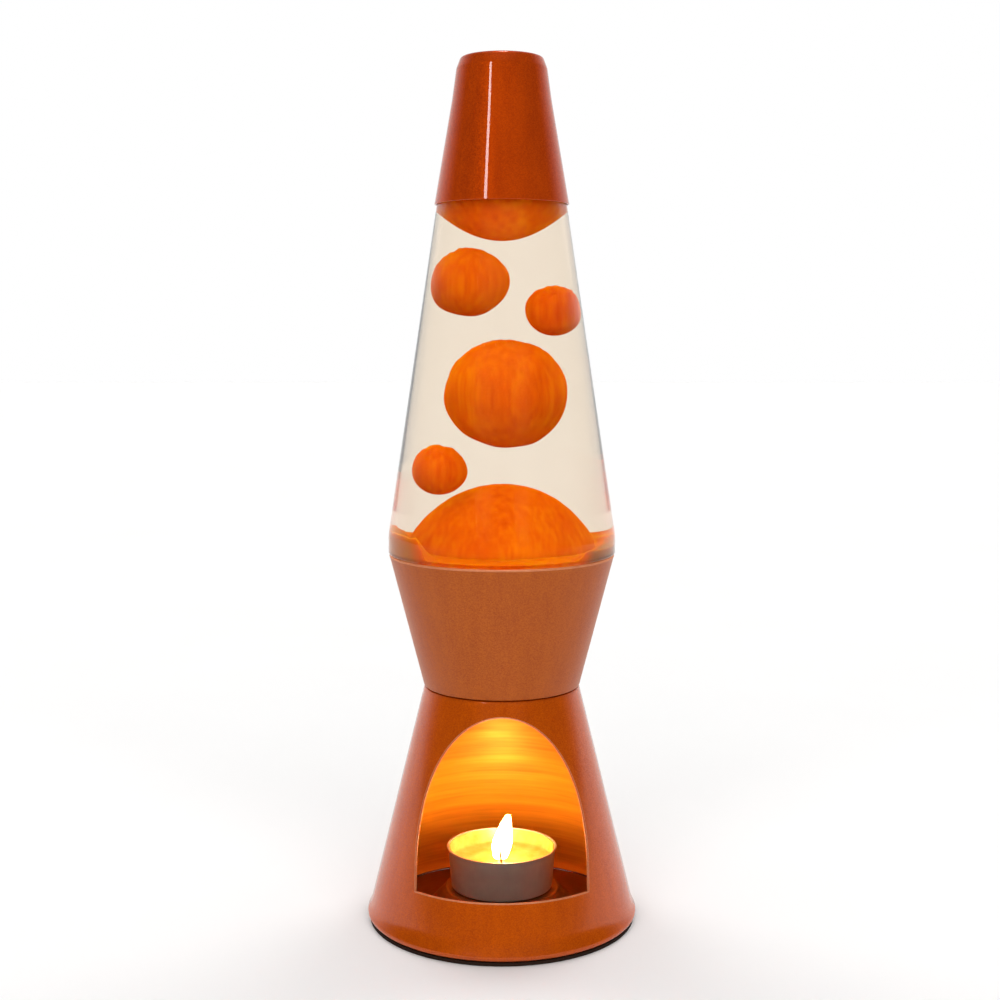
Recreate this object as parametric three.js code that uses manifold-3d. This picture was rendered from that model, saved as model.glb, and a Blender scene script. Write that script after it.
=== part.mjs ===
// A candle-heated lava lamp: a spun metal base with an arched window for a tealight, an inverted
// cone that holds the bottle, the liquid-filled bottle with its wax, and a loose conical cap.
// Millimetres, +Z up, origin on the lamp's axis at the underside of its foot. The window faces -Y.
import * as THREE from "three";
import { mergeVertices } from "three/addons/utils/BufferGeometryUtils.js";
import Module from "manifold-3d";

const wasm = await Module();
wasm.setup();

// ---- Driving dimensions ----
const GAP = 0.3; // left between two pieces that touch
const SHELL_SIDES = 44; // facets around the sheet-metal shells
const INNER_SIDES = 28; // facets around the pieces inside them
const BOTTLE_SIDES = 32;

// Sheet metal
const SHEET = 0.8;
const PAD_RADIUS = 46.8;
const PAD_THICKNESS = 1.2;
const BEAD = { r: 45.95, z: 3.1, radius: 1.6 }; // the rolled bottom edge of the base
const BASE_FOOT_RADIUS = 47.75; // the base cone's side, carried down to z = 0
const BASE_SLOPE = 0.2475; // radius lost for each millimetre of height
const BASE_TOP = 83.5;
const CUP_FOOT_RADIUS = 27.1;
const CUP_SLOPE = 0.2575; // radius gained for each millimetre of height
const CUP_RIM = 129.7;
const HEAT_OPENING_RADIUS = 15.5;
const TRAY_RADIUS = 44;
const BOSS = { top: 10.3, topRadius: 20, footRadius: 27.5 }; // raised middle of the tray

// Window in the front of the base: straight jambs under half an ellipse
const WINDOW = { sill: 19.5, spring: 27, halfWidth: 29, archHeight: 51.5 };

// Rivets that join the base to the cup
const RIVET_COUNT = 4;
const RIVET = { circle: 20, shank: 1.2, head: 2.1, headHeight: 0.7 };

// Bottle
const GLASS = 1.85;
const BOTTLE_SHOULDER = 138.5; // where the cone starts, above the widest band
const BOTTLE_SHOULDER_RADIUS = 39;
const BOTTLE_SLOPE = 0.1527; // radius lost for each millimetre of height
const BOTTLE_FLOOR = 91.4; // inside, on the axis
const BOTTLE_CONE_TOP = 251.1;
const CONE_FOOT = 139.2; // where the straight side of the cone begins
const HEEL_TOP = 128; // where the straight side of the heel ends, inside
const BAND_INSIDE = [ // the inside of the widest band, from the heel up
  { r: 36.7, z: 130.6 },
  { r: 37.4, z: 133.2 },
  { r: 37.4, z: 135.4 },
];
const MOUTH_TOP = 269.3;
const MOUTH_RADIUS = 9.5;
const LIP_RADIUS = 13.3;
const LIQUID_LEVEL = 257.5;

// Wax
const POOL_DOME = { radius: 27, middle: 115, height: 38.4 }; // half an ellipsoid over the pool
const POOL_LEVEL = 138.2; // where the pool meets the glass, round the foot of the dome
const POOL_FILLET = 1.2; // the dome rises from the level by this much before it follows the ellipsoid
const TOP_DOME = { lowest: 235.6, curve: 0.038 }; // height over the lowest point = curve * r * r
const TOP_DOME_RADIUS = 19.4;
const WAX_EDGE = 250.2; // where the wax at the top meets the glass
const BLOB_SIDES = 16;
const BLOB_STEPS = 4; // from a pole to the middle
const BLOBS = [
  { x: -9.4, y: -6, z: 222, radius: 11.4, half: 11.3, down: 3, up: 3.5, vent: { x: -9.4, y: -6, up: true } },
  { x: 13.2, y: 2, z: 212.2, radius: 7.3, half: 8.5, down: 4, up: 10, vent: { x: 13.2, y: 2, up: true } },
  { x: 1.2, y: -6, z: 184.6, radius: 16.7, half: 18.3, down: 3, up: 3, vent: { x: 4.5, y: -6, up: true } },
  { x: -18.1, y: -10, z: 159.2, radius: 8.5, half: 8.3, down: 4, up: 2, vent: { x: -18.1, y: -10, up: false } },
];
const VENT_RADIUS = 0.6; // thin vents that open the blobs' hollows in the liquid
const COIL = { ring: 14.5, turn: 2.8, wire: 0.45, turns: 16, z: 94.4 };

// Closure and top cap
const CROWN_FLUTES = 21;
const CROWN = { top: 270.7, skirt: 264.6, plate: 0.4, valley: 14.05, ridge: 14.6, bore: 13.65 };
const CAP_SHEET = 0.6;
const CAP_RIM = { r: 22.95, z: 249.2 };
const CAP_BEND = { r: 16.8, z: 284 }; // where the side begins to turn into the top edge
const CAP_TOP = 298;

// Tealight
const TEALIGHT_FLOOR = BOSS.top + GAP;
const TEALIGHT_TOP = 25.1;
const TEALIGHT_SHEET = 0.4;
const TEALIGHT_FOOT_RADIUS = 18.1;
const TEALIGHT_RIM_RADIUS = 19.5;
const CANDLE_TOP = 19.5;
const CANDLE_RADIUS = 17.9;
const WICK_RADIUS = 0.5;
const WICK_TOP = 24;
const SUSTAINER = { radius: 6, plate: 0.4, tube: 1.35, height: 4.4 };

const COLOURS = {
  paint: 0xc25a10,
  rubber: 0x14100e,
  steel: 0xa8a49c,
  tray: 0x8a5a36,
  glass: 0xf4ead8,
  liquid: 0xf2e4cc,
  wax: 0xe86a08,
  aluminium: 0xb8aca2,
  candle: 0xf7ecc4,
  wick: 0x3a2414,
  liner: 0xe8e4dc,
};

// ---- Helpers ----
const LAMP = new THREE.Group();

function add(name, geometry, colour, roughness, metalness) {
  const material = new THREE.MeshStandardMaterial({ color: colour, roughness, metalness });
  const mesh = new THREE.Mesh(geometry, material);
  mesh.name = name;
  LAMP.add(mesh);
  return mesh;
}

// Turns a closed outline of [radius, height] pairs about the Z axis. The outline runs
// anticlockwise: up the outside, then back down the inside or the axis.
function turned(outline, sides = SHELL_SIDES) {
  const points = outline.map(([r, z]) => new THREE.Vector2(r, z));
  if (outline[0][0] > 0) points.push(points[0].clone());
  return new THREE.LatheGeometry(points, sides).rotateX(Math.PI / 2);
}

// Points of an arc in the outline plane, from one angle to another, in degrees from +r.
function arc(r, z, radiusR, radiusZ, from, to, steps) {
  const points = [];
  for (let i = 0; i <= steps; i++) {
    const angle = THREE.MathUtils.degToRad(from + ((to - from) * i) / steps);
    points.push([r + radiusR * Math.cos(angle), z + radiusZ * Math.sin(angle)]);
  }
  return points;
}

function toSolid(geometry) {
  const bare = geometry.clone();
  bare.deleteAttribute("normal");
  bare.deleteAttribute("uv");
  const merged = mergeVertices(bare, 1e-4);
  const mesh = new wasm.Mesh({
    numProp: 3,
    vertProperties: merged.getAttribute("position").array,
    triVerts: new Uint32Array(merged.getIndex().array),
  });
  return new wasm.Manifold(mesh);
}

function toGeometry(solid) {
  const mesh = solid.getMesh();
  const geometry = new THREE.BufferGeometry();
  geometry.setAttribute("position", new THREE.BufferAttribute(mesh.vertProperties, 3));
  geometry.setIndex(new THREE.BufferAttribute(mesh.triVerts, 1));
  geometry.computeVertexNormals();
  return geometry;
}

function cut(geometry, cutters) {
  const solid = cutters.reduce((left, cutter) => left.subtract(toSolid(cutter)), toSolid(geometry));
  return toGeometry(solid);
}

function rod(x, y, low, high, radius, sides) {
  const cylinder = new THREE.CylinderGeometry(radius, radius, high - low, sides);
  return cylinder.rotateX(Math.PI / 2).translate(x, y, (low + high) / 2);
}

const baseRadius = (z) => BASE_FOOT_RADIUS - BASE_SLOPE * z;
const cupRadius = (z) => CUP_FOOT_RADIUS + CUP_SLOPE * (z - BASE_TOP);
const bottleRadius = (z) => BOTTLE_SHOULDER_RADIUS - BOTTLE_SLOPE * (z - BOTTLE_SHOULDER);
const bottleHeelRadius = (z) => cupRadius(z) - SHEET - 0.5; // the part that stands in the cup
const insideHeel = (z) => bottleHeelRadius(z) - GLASS - GAP;
const insideCone = (z) => bottleRadius(z) - GLASS - GAP;

function rivetPlaces() {
  return Array.from({ length: RIVET_COUNT }, (_, i) => {
    const angle = (2 * Math.PI * (i + 0.5)) / RIVET_COUNT;
    return [RIVET.circle * Math.cos(angle), RIVET.circle * Math.sin(angle)];
  });
}

function rivetHoles() {
  const radius = RIVET.shank + GAP;
  return rivetPlaces().map(([x, y]) => rod(x, y, BASE_TOP - 3, BASE_TOP + 3, radius, 10));
}

// ---- Base ----
// The base cone: rolled bead at the foot, straight side, flange across the top.
function baseCone() {
  const inner = (z) => baseRadius(z) - SHEET;
  const outline = [
    ...arc(BEAD.r, BEAD.z, BEAD.radius, BEAD.radius, -90, 40, 4),
    [baseRadius(8), 8],
    [baseRadius(BASE_TOP - 0.7), BASE_TOP - 0.7],
    [baseRadius(BASE_TOP) - 0.5, BASE_TOP],
    [HEAT_OPENING_RADIUS, BASE_TOP],
    [HEAT_OPENING_RADIUS, BASE_TOP - SHEET],
    [inner(BASE_TOP - SHEET) - 0.6, BASE_TOP - SHEET],
    [inner(BASE_TOP - 2), BASE_TOP - 2],
    [inner(8), 8],
    [BEAD.r - 0.8, BEAD.z + 1.2],
    [BEAD.r - 1.4, BEAD.z - 0.4],
  ];
  return cut(turned(outline), [windowPrism(), ...rivetHoles()]);
}

function windowPrism() {
  const shape = new THREE.Shape();
  shape.moveTo(-WINDOW.halfWidth, WINDOW.sill);
  shape.lineTo(WINDOW.halfWidth, WINDOW.sill);
  shape.lineTo(WINDOW.halfWidth, WINDOW.spring);
  shape.absellipse(0, WINDOW.spring, WINDOW.halfWidth, WINDOW.archHeight, 0, Math.PI, false, 0);
  const front = BASE_FOOT_RADIUS + 10;
  const prism = new THREE.ExtrudeGeometry(shape, { depth: front, bevelEnabled: false, curveSegments: 24 });
  return prism.rotateX(Math.PI / 2);
}

// The inverted cone that the bottle stands in, with a flange that meets the base.
function waistCup() {
  const foot = BASE_TOP + GAP;
  const inner = (z) => cupRadius(z) - SHEET;
  const outline = [
    [HEAT_OPENING_RADIUS, foot],
    [cupRadius(foot) - 0.5, foot],
    [cupRadius(foot + 0.6), foot + 0.6],
    [cupRadius(CUP_RIM - 0.3), CUP_RIM - 0.3],
    [cupRadius(CUP_RIM) - 0.25, CUP_RIM],
    [inner(CUP_RIM) + 0.1, CUP_RIM],
    [inner(foot + 1.6), foot + 1.6],
    [inner(foot) - 0.6, foot + SHEET],
    [HEAT_OPENING_RADIUS, foot + SHEET],
  ];
  return cut(turned(outline), rivetHoles());
}

// One rivet, upset on both faces of the two flanges.
function rivet() {
  const under = BASE_TOP - SHEET - GAP;
  const over = BASE_TOP + SHEET + 2 * GAP;
  return turned(
    [
      [0, under - RIVET.headHeight],
      [RIVET.head * 0.7, under - RIVET.headHeight],
      [RIVET.head, under],
      [RIVET.shank, under],
      [RIVET.shank, over],
      [RIVET.head, over],
      [RIVET.head * 0.7, over + RIVET.headHeight],
      [0, over + RIVET.headHeight],
    ],
    10,
  );
}

// Pressed tray on the floor of the base, with a raised middle that the tealight stands on.
function floorTray() {
  const foot = PAD_THICKNESS + GAP;
  const bend = SHEET / 2; // how far inside the boss's outer faces its inner corners lie
  return turned(
    [
      [TRAY_RADIUS, foot],
      [TRAY_RADIUS, foot + SHEET],
      [BOSS.footRadius, foot + SHEET],
      [BOSS.topRadius, BOSS.top],
      [0, BOSS.top],
      [0, BOSS.top - SHEET],
      [BOSS.topRadius - bend, BOSS.top - SHEET],
      [BOSS.footRadius - bend, foot],
    ],
    INNER_SIDES,
  );
}

// Black disc under the base.
function footPad() {
  return turned(
    [
      [0, 0],
      [PAD_RADIUS - 0.4, 0],
      [PAD_RADIUS, 0.4],
      [PAD_RADIUS, PAD_THICKNESS],
      [0, PAD_THICKNESS],
    ],
    SHELL_SIDES,
  );
}

// ---- Bottle ----
// Blown bottle: a heel cone that nests in the cup, the widest band over the cup's rim, the long
// cone, a round shoulder under the cap, and a neck with a lip for the crown closure.
function glassBottle() {
  const heelTop = CUP_RIM - 0.7;
  const outside = [
    [0, 89],
    [12, 88.6],
    [19, 87.7],
    [22.4, 86.3],
    [23.2, 85.2],
    [24.2, 84.95],
    [25.2, 85.4],
    [bottleHeelRadius(87.2), 87.2],
    [bottleHeelRadius(heelTop), heelTop],
    [38, CUP_RIM + 0.4],
    [38.8, 130.8],
    [39.25, 133.4],
    [39.22, 135.4],
    [bottleRadius(CONE_FOOT), CONE_FOOT],
    [bottleRadius(BOTTLE_CONE_TOP), BOTTLE_CONE_TOP],
    [20.6, 254.6],
    [18.2, 258.2],
    [15.2, 261],
    [13.1, 263.2],
    [12.7, 265.6],
    [LIP_RADIUS, 266.6],
    [LIP_RADIUS, 268.2],
    [12.4, MOUTH_TOP],
  ];
  const inside = [
    [MOUTH_RADIUS, MOUTH_TOP],
    [MOUTH_RADIUS, 264],
    [12.4, 260.6],
    [16, 257.4],
    [18.6, 253.8],
    [bottleRadius(250.5) - GLASS, 250.5],
    [bottleRadius(CONE_FOOT) - GLASS, CONE_FOOT],
    ...BAND_INSIDE.map(({ r, z }) => [r, z]).reverse(),
    [bottleHeelRadius(HEEL_TOP) - GLASS, HEEL_TOP],
    [bottleHeelRadius(92) - GLASS, 92],
    [23.8, 90],
    [21.8, 89.4],
    [19, 90],
    [12, 91],
    [0, BOTTLE_FLOOR],
  ];
  return turned([...outside, ...inside], BOTTLE_SIDES);
}

// Crimped metal closure over the lip, with its fluted skirt.
function crownCap() {
  const sides = CROWN_FLUTES * 2;
  const geometry = turned(
    [
      [0, CROWN.top - CROWN.plate],
      [CROWN.bore - 0.6, CROWN.top - CROWN.plate],
      [CROWN.bore, CROWN.top - 1.6],
      [CROWN.bore, CROWN.skirt],
      [CROWN.ridge, CROWN.skirt],
      [CROWN.valley, CROWN.top - 1.4],
      [CROWN.bore - 0.6, CROWN.top],
      [0, CROWN.top],
    ],
    sides,
  );
  const position = geometry.getAttribute("position");
  for (let i = 0; i < position.count; i++) {
    const x = position.getX(i);
    const y = position.getY(i);
    const flute = Math.round((Math.atan2(x, -y) / Math.PI) * CROWN_FLUTES);
    const isRidge = Math.hypot(x, y) > CROWN.valley + 0.2;
    const inValley = Math.abs(flute % 2) === 1;
    if (isRidge && inValley) {
      const scale = CROWN.valley / CROWN.ridge;
      position.setXY(i, x * scale, y * scale);
    }
  }
  return geometry;
}

function crownLiner() {
  const low = MOUTH_TOP + GAP;
  return turned([[0, low], [12, low], [12, low + 0.4], [0, low + 0.4]], 32);
}

// ---- Liquid and wax ----
// The pool's dome, from its foot just above the pool's level up to the axis.
function poolDome(steps, lift) {
  const dome = POOL_DOME;
  const rise = (POOL_LEVEL + POOL_FILLET - dome.middle) / dome.height;
  const from = THREE.MathUtils.radToDeg(Math.asin(rise));
  return arc(0, dome.middle + lift, dome.radius + lift, dome.height, from, 90, steps);
}

function topDome(steps, drop) {
  const points = [];
  for (let i = 0; i <= steps; i++) {
    const r = (TOP_DOME_RADIUS * i) / steps;
    points.push([r, TOP_DOME.lowest + TOP_DOME.curve * r * r - drop]);
  }
  return points;
}

// Pool of wax that fills the foot of the bottle and rises into a dome. A groove in its underside
// holds the coil.
function waxPool() {
  const half = COIL.turn + COIL.wire + GAP;
  const groove = { inner: COIL.ring - half, outer: COIL.ring + half, top: COIL.z + half };
  return turned(
    [
      [0, BOTTLE_FLOOR + GAP],
      [groove.inner, 91.4],
      [groove.inner, groove.top],
      [groove.outer, groove.top],
      [groove.outer, 90.6],
      [21.8, 89.9],
      [insideHeel(92), 92],
      [insideHeel(HEEL_TOP), HEEL_TOP],
      ...BAND_INSIDE.map(({ r, z }) => [r - GAP, z]),
      [insideCone(POOL_LEVEL) - 0.1, POOL_LEVEL],
      ...poolDome(6, 0),
    ],
    INNER_SIDES,
  );
}

// Wax gathered at the top of the bottle, hanging down below the cap's rim.
function waxTop() {
  return turned(
    [
      ...topDome(5, 0),
      [insideCone(WAX_EDGE), WAX_EDGE + 0.2],
      [18.2, 253.8],
      [15.7, LIQUID_LEVEL - 0.2],
      [0, LIQUID_LEVEL],
    ],
    INNER_SIDES,
  );
}

// A blob as an ellipsoid, drawn out downwards and upwards where it makes room for the blob's travel.
function blobShape(blob, clearance, down, up) {
  const radius = blob.radius + clearance;
  const half = blob.half + clearance;
  const lower = arc(0, -down, radius, half, -90, 0, BLOB_STEPS);
  const upper = arc(0, up, radius, half, 0, 90, BLOB_STEPS);
  const outline = down + up === 0 ? lower.concat(upper.slice(1)) : lower.concat(upper);
  outline[0][0] = 0;
  outline[outline.length - 1][0] = 0;
  return turned(outline, BLOB_SIDES).translate(blob.x, blob.y, blob.z);
}

// A thin hole from a blob's hollow out through the top or the underside of the liquid.
function blobVent(blob) {
  const { vent } = blob;
  const far = Math.hypot(vent.x, vent.y);
  const surface = TOP_DOME.lowest + TOP_DOME.curve * far * far;
  if (vent.up) return rod(vent.x, vent.y, blob.z, surface + 2, VENT_RADIUS, 6);
  return rod(vent.x, vent.y, POOL_DOME.middle, blob.z, VENT_RADIUS, 6);
}

// The clear liquid, with a hollow for each blob of wax as long as that blob's travel.
function carrierFluid() {
  const side = [POOL_LEVEL + GAP, WAX_EDGE - 0.6].map((z) => [insideCone(z), z]);
  const under = poolDome(6, GAP).reverse();
  const top = topDome(5, GAP).reverse();
  const body = turned([...under, ...side, ...top], INNER_SIDES);
  const hollows = BLOBS.map((blob) => blobShape(blob, 2 * GAP, blob.down, blob.up));
  return cut(body, [...hollows, ...BLOBS.map(blobVent)]);
}

// Wire coil wound into a ring, lying on the bottle's floor in the wax.
class CoilCurve extends THREE.Curve {
  getPoint(t) {
    const round = 2 * Math.PI * t;
    const turn = round * COIL.turns;
    const r = COIL.ring + COIL.turn * Math.cos(turn);
    const z = COIL.z + COIL.turn * Math.sin(turn);
    return new THREE.Vector3(r * Math.cos(round), r * Math.sin(round), z);
  }
}

function heatCoil() {
  return new THREE.TubeGeometry(new CoilCurve(), COIL.turns * 6, COIL.wire, 5, true);
}

// ---- Top cap ----
function topCap() {
  const sheet = CAP_SHEET;
  const slope = (CAP_RIM.r - CAP_BEND.r) / (CAP_BEND.z - CAP_RIM.z);
  const underTop = CAP_TOP - sheet;
  return turned([
    [CAP_RIM.r - sheet, CAP_RIM.z],
    [CAP_RIM.r, CAP_RIM.z],
    [CAP_RIM.r - slope * 0.8, CAP_RIM.z + 0.8],
    [CAP_BEND.r, CAP_BEND.z],
    [15.5, 293.2],
    [14.8, 296.4],
    [13.8, 297.6],
    [12.4, CAP_TOP],
    [0, CAP_TOP],
    [0, underTop],
    [12.2, underTop],
    [14.1, 296],
    [14.9, 293.2],
    [CAP_BEND.r - sheet, CAP_BEND.z],
  ]);
}

// ---- Tealight ----
function tealightCup() {
  const sheet = TEALIGHT_SHEET;
  const foot = TEALIGHT_FOOT_RADIUS;
  const rim = TEALIGHT_RIM_RADIUS;
  return turned(
    [
      [0, TEALIGHT_FLOOR],
      [foot - 0.6, TEALIGHT_FLOOR],
      [foot, TEALIGHT_FLOOR + 0.6],
      [rim - 0.4, TEALIGHT_TOP - 0.8],
      [rim, TEALIGHT_TOP - 0.6],
      [rim, TEALIGHT_TOP],
      [rim - 0.8, TEALIGHT_TOP],
      [foot - sheet, TEALIGHT_FLOOR + 0.9],
      [foot - 0.9, TEALIGHT_FLOOR + sheet],
      [0, TEALIGHT_FLOOR + sheet],
    ],
    INNER_SIDES,
  );
}

function tealightWax() {
  const low = TEALIGHT_FLOOR + TEALIGHT_SHEET + GAP;
  const bore = WICK_RADIUS + GAP;
  const plateTop = low + SUSTAINER.plate + GAP;
  const tubeTop = low + SUSTAINER.height + GAP;
  return turned(
    [
      [SUSTAINER.radius + GAP, low],
      [CANDLE_RADIUS - 1.1, low],
      [TEALIGHT_FOOT_RADIUS - TEALIGHT_SHEET - GAP, low + 0.7],
      [CANDLE_RADIUS, CANDLE_TOP],
      [bore, CANDLE_TOP],
      [bore, tubeTop],
      [SUSTAINER.tube + GAP, tubeTop],
      [SUSTAINER.tube + GAP, plateTop],
      [SUSTAINER.radius + GAP, plateTop],
    ],
    INNER_SIDES,
  );
}

// Metal plate with a short tube that holds the wick upright.
function wickSustainer() {
  const low = TEALIGHT_FLOOR + TEALIGHT_SHEET + GAP;
  const bore = WICK_RADIUS + GAP;
  return turned(
    [
      [0, low],
      [SUSTAINER.radius, low],
      [SUSTAINER.radius, low + SUSTAINER.plate],
      [SUSTAINER.tube, low + SUSTAINER.plate],
      [SUSTAINER.tube, low + SUSTAINER.height],
      [bore, low + SUSTAINER.height],
      [bore, low + SUSTAINER.plate],
      [0, low + SUSTAINER.plate],
    ],
    16,
  );
}

function tealightWick() {
  const low = TEALIGHT_FLOOR + TEALIGHT_SHEET + SUSTAINER.plate + 2 * GAP;
  const path = new THREE.CatmullRomCurve3([
    new THREE.Vector3(0, 0, low),
    new THREE.Vector3(0, 0, CANDLE_TOP),
    new THREE.Vector3(0, 0, CANDLE_TOP + 2.4),
    new THREE.Vector3(-0.5, 0, WICK_TOP),
  ]);
  const section = new THREE.Shape();
  section.absarc(0, 0, WICK_RADIUS, 0, 2 * Math.PI, false);
  return new THREE.ExtrudeGeometry(section, { extrudePath: path, steps: 8, curveSegments: 8 });
}

// ---- Assembly ----
add("base_cone", baseCone(), COLOURS.paint, 0.3, 0.5);
add("waist_cup", waistCup(), COLOURS.paint, 0.4, 0.5);
rivetPlaces().forEach(([x, y], i) => {
  add(`flange_rivet_${i + 1}`, rivet(), COLOURS.steel, 0.4, 1).position.set(x, y, 0);
});
add("floor_tray", floorTray(), COLOURS.tray, 0.35, 0.8);
add("foot_pad", footPad(), COLOURS.rubber, 0.8, 0);
add("glass_bottle", glassBottle(), COLOURS.glass, 0.05, 0);
add("carrier_fluid", carrierFluid(), COLOURS.liquid, 0.05, 0);
add("wax_pool", waxPool(), COLOURS.wax, 0.5, 0);
add("wax_top", waxTop(), COLOURS.wax, 0.5, 0);
BLOBS.forEach((blob, i) => {
  add(`wax_blob_${i + 1}`, blobShape(blob, 0, 0, 0), COLOURS.wax, 0.5, 0);
});
add("heat_coil", heatCoil(), COLOURS.steel, 0.3, 1);
add("crown_cap", crownCap(), COLOURS.steel, 0.3, 1);
add("crown_liner", crownLiner(), COLOURS.liner, 0.6, 0);
add("top_cap", topCap(), COLOURS.paint, 0.3, 0.5);
add("tealight_cup", tealightCup(), COLOURS.aluminium, 0.35, 1);
add("tealight_wax", tealightWax(), COLOURS.candle, 0.4, 0);
add("wick_sustainer", wickSustainer(), COLOURS.steel, 0.4, 1);
add("tealight_wick", tealightWick(), COLOURS.wick, 0.9, 0);

export default LAMP;
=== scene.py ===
"""Looks of the candle-heated lava lamp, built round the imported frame. Lengths are millimetres unless said."""
import math

import bmesh
import bpy
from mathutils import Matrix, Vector, noise


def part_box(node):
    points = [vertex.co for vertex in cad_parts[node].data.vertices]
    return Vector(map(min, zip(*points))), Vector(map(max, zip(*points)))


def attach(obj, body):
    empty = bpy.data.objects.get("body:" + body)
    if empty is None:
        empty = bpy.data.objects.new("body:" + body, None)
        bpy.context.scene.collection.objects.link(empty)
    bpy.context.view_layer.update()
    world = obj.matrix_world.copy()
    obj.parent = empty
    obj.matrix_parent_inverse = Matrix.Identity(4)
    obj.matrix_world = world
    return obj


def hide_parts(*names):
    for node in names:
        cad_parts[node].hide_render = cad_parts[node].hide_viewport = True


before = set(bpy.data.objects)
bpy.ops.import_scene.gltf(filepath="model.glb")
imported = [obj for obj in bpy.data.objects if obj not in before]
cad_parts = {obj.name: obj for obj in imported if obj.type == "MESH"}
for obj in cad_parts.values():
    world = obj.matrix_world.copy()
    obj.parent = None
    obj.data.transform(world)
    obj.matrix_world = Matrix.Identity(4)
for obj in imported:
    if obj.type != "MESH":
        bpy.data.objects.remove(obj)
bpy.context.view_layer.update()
noise.seed_set(5)  # the same uneven wax at every run

MM = 0.001
FINE = 192  # facets round the large turned pieces

# ---- Driving sizes, the same as the CAD's ----
SHEET = 0.8
BASE_FOOT_RADIUS = 47.75
BASE_SLOPE = 0.2475
CUP_FOOT_RADIUS = 27.1
CUP_SLOPE = 0.2575
HEAT_OPENING = 15.5
WINDOW_HALF_WIDTH = 29.0
WINDOW_SILL = 19.5
WINDOW_SPRING = 27.0
WINDOW_ARCH = 51.5
BOTTLE_SHOULDER = 138.5
BOTTLE_SHOULDER_RADIUS = 39.0
BOTTLE_SLOPE = 0.1527
GLASS = 1.85
OVERLAP = 0.05  # how far the liquid reaches into the glass, so that light passes straight between them
LIQUID_LEVEL = 257.5


def low(node):
    return [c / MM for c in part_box(node)[0]]


def high(node):
    return [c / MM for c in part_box(node)[1]]


def centre(node):
    return [(a + b) / 2 for a, b in zip(low(node), high(node))]


BASE_TOP = high("base_cone")[2]
CUP_FOOT = low("waist_cup")[2]
CUP_RIM = high("waist_cup")[2]
TRAY_RADIUS = high("floor_tray")[0]
CAP_RIM = low("top_cap")[2]
CAP_RIM_RADIUS = high("top_cap")[0]
CAP_TOP = high("top_cap")[2]


def base_radius(z):
    return BASE_FOOT_RADIUS - BASE_SLOPE * z


def cup_radius(z):
    return CUP_FOOT_RADIUS + CUP_SLOPE * (z - BASE_TOP)


def bottle_radius(z):
    return BOTTLE_SHOULDER_RADIUS - BOTTLE_SLOPE * (z - BOTTLE_SHOULDER)


def heel_radius(z):
    return cup_radius(z) - SHEET - 0.5


# ---- Mesh helpers ----
def rounded(corners, steps=6):
    """An outline from (r, z, rounding) corners: each corner is replaced by a curve of about that radius."""
    points = []
    count = len(corners)
    for i, (r, z, rounding) in enumerate(corners):
        here = Vector((r, z))
        if rounding == 0:
            points.append(here)
            continue
        before = Vector(corners[i - 1][:2]) - here
        after = Vector(corners[(i + 1) % count][:2]) - here
        half = before.angle(after) / 2
        reach = min(rounding / math.tan(half), before.length * 0.49, after.length * 0.49)
        start = here + before.normalized() * reach
        end = here + after.normalized() * reach
        for k in range(steps + 1):
            t = k / steps
            points.append(start * (1 - t) ** 2 + here * 2 * t * (1 - t) + end * t**2)
    return points


def new_object(name, mesh):
    thing = bpy.data.objects.new(name, mesh)
    bpy.context.scene.collection.objects.link(thing)
    return thing


def smooth(mesh, angle=35):
    mesh.polygons.foreach_set("use_smooth", [True] * len(mesh.polygons))
    mesh.set_sharp_from_angle(angle=math.radians(angle))
    mesh.update()


def revolve(name, outline, sides=FINE, warp=None, angle=35):
    """A closed solid turned about Z. outline is a closed loop of (r, z), or starts and ends on the axis."""
    verts, rings = [], []
    for r, z in outline:
        if r < 1e-6:
            rings.append([len(verts)])
            verts.append(Vector((0, 0, z)))
            continue
        rings.append(list(range(len(verts), len(verts) + sides)))
        for k in range(sides):
            turn = 2 * math.pi * k / sides
            verts.append(Vector((r * math.sin(turn), -r * math.cos(turn), z)))
    if warp:
        verts = [warp(v) for v in verts]
    faces = []
    closed = len(rings[0]) > 1
    for i in range(len(rings) if closed else len(rings) - 1):
        faces += between(rings[i], rings[(i + 1) % len(rings)], sides)
    mesh = bpy.data.meshes.new(name)
    mesh.from_pydata([v * MM for v in verts], [], faces)
    tidy_normals(mesh)
    smooth(mesh, angle)
    return new_object(name, mesh)


def between(a, b, sides):
    """Faces joining two rings, either of which may be a single point on the axis."""
    faces = []
    for k in range(sides):
        n = (k + 1) % sides
        if len(a) == 1 and len(b) == 1:
            continue
        if len(a) == 1:
            faces.append((a[0], b[n], b[k]))
        elif len(b) == 1:
            faces.append((a[k], a[n], b[0]))
        else:
            faces.append((a[k], a[n], b[n], b[k]))
    return faces


def tidy_normals(mesh):
    work = bmesh.new()
    work.from_mesh(mesh)
    bmesh.ops.recalc_face_normals(work, faces=work.faces)
    work.to_mesh(mesh)
    work.free()


def applied(thing):
    """Replaces an object's mesh by the one its modifiers make."""
    bpy.context.view_layer.update()
    made = bpy.data.meshes.new_from_object(thing.evaluated_get(bpy.context.evaluated_depsgraph_get()))
    thing.modifiers.clear()
    thing.data = made
    return thing


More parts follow.
